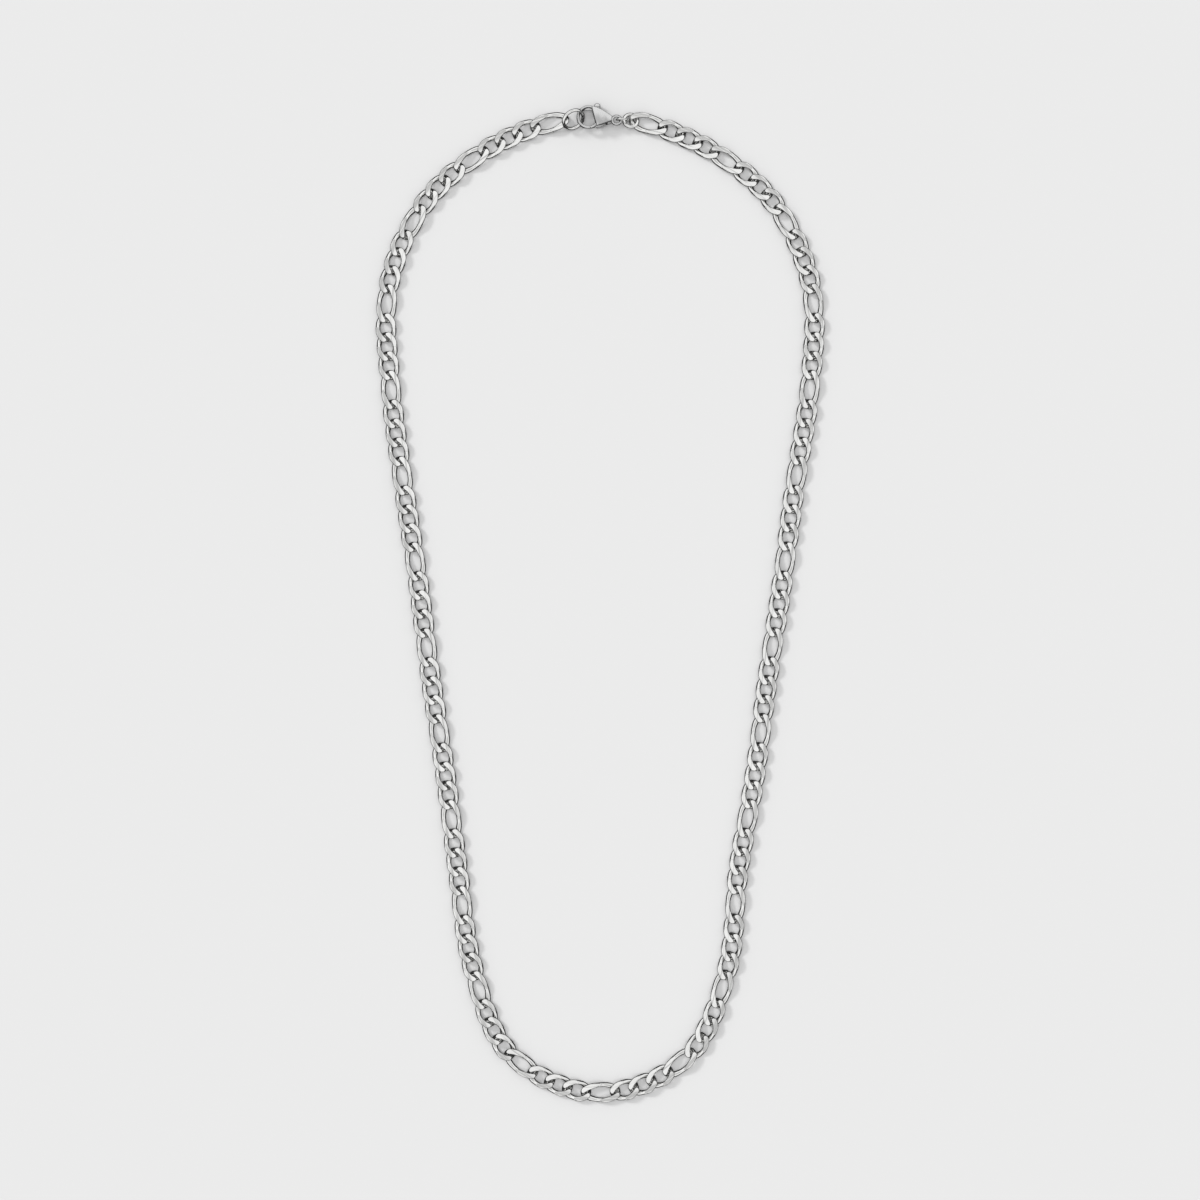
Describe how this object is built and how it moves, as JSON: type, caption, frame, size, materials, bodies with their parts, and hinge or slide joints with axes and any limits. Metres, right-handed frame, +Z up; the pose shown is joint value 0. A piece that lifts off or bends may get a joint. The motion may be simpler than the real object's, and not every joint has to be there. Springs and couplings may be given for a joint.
{
  "type": "figaro neck chain",
  "caption": "Flat figaro neck chain of twisted steel links, short ones between long ones, closed as a loop by a lobster clasp.",
  "frame": {"origin": "middle of the bounding box in X and Y, on the surface that the chain lies on", "axes": "+X to the right, +Y along the loop's length towards the clasp, +Z up from the surface"},
  "size_m": [0.1068, 0.2373, 0.0047],
  "materials": {
    "chain_steel": "polished",
    "ring_steel": "polished",
    "clasp_steel": "satin polished",
    "lever_steel": "satin"
  },
  "bodies": {
    "chain": {"chain_right": "chain_steel", "chain_left": "chain_steel", "end_ring": "ring_steel", "tail_ring": "ring_steel", "jump_ring": "ring_steel", "clasp_body": "clasp_steel", "lever_pin": "clasp_steel"},
    "lever": {"clasp_lever": "lever_steel"}
  },
  "joints": [
    {"name": "lever_hinge", "type": "hinge", "parent": "chain", "child": "lever", "pos_m": [0.00071, 0.11434, 0.0019], "axis": [0.0137, -0.2102, -0.9776], "range_deg": [0, 30], "stiffness_Nm_per_rad": 0.0005}
  ]
}
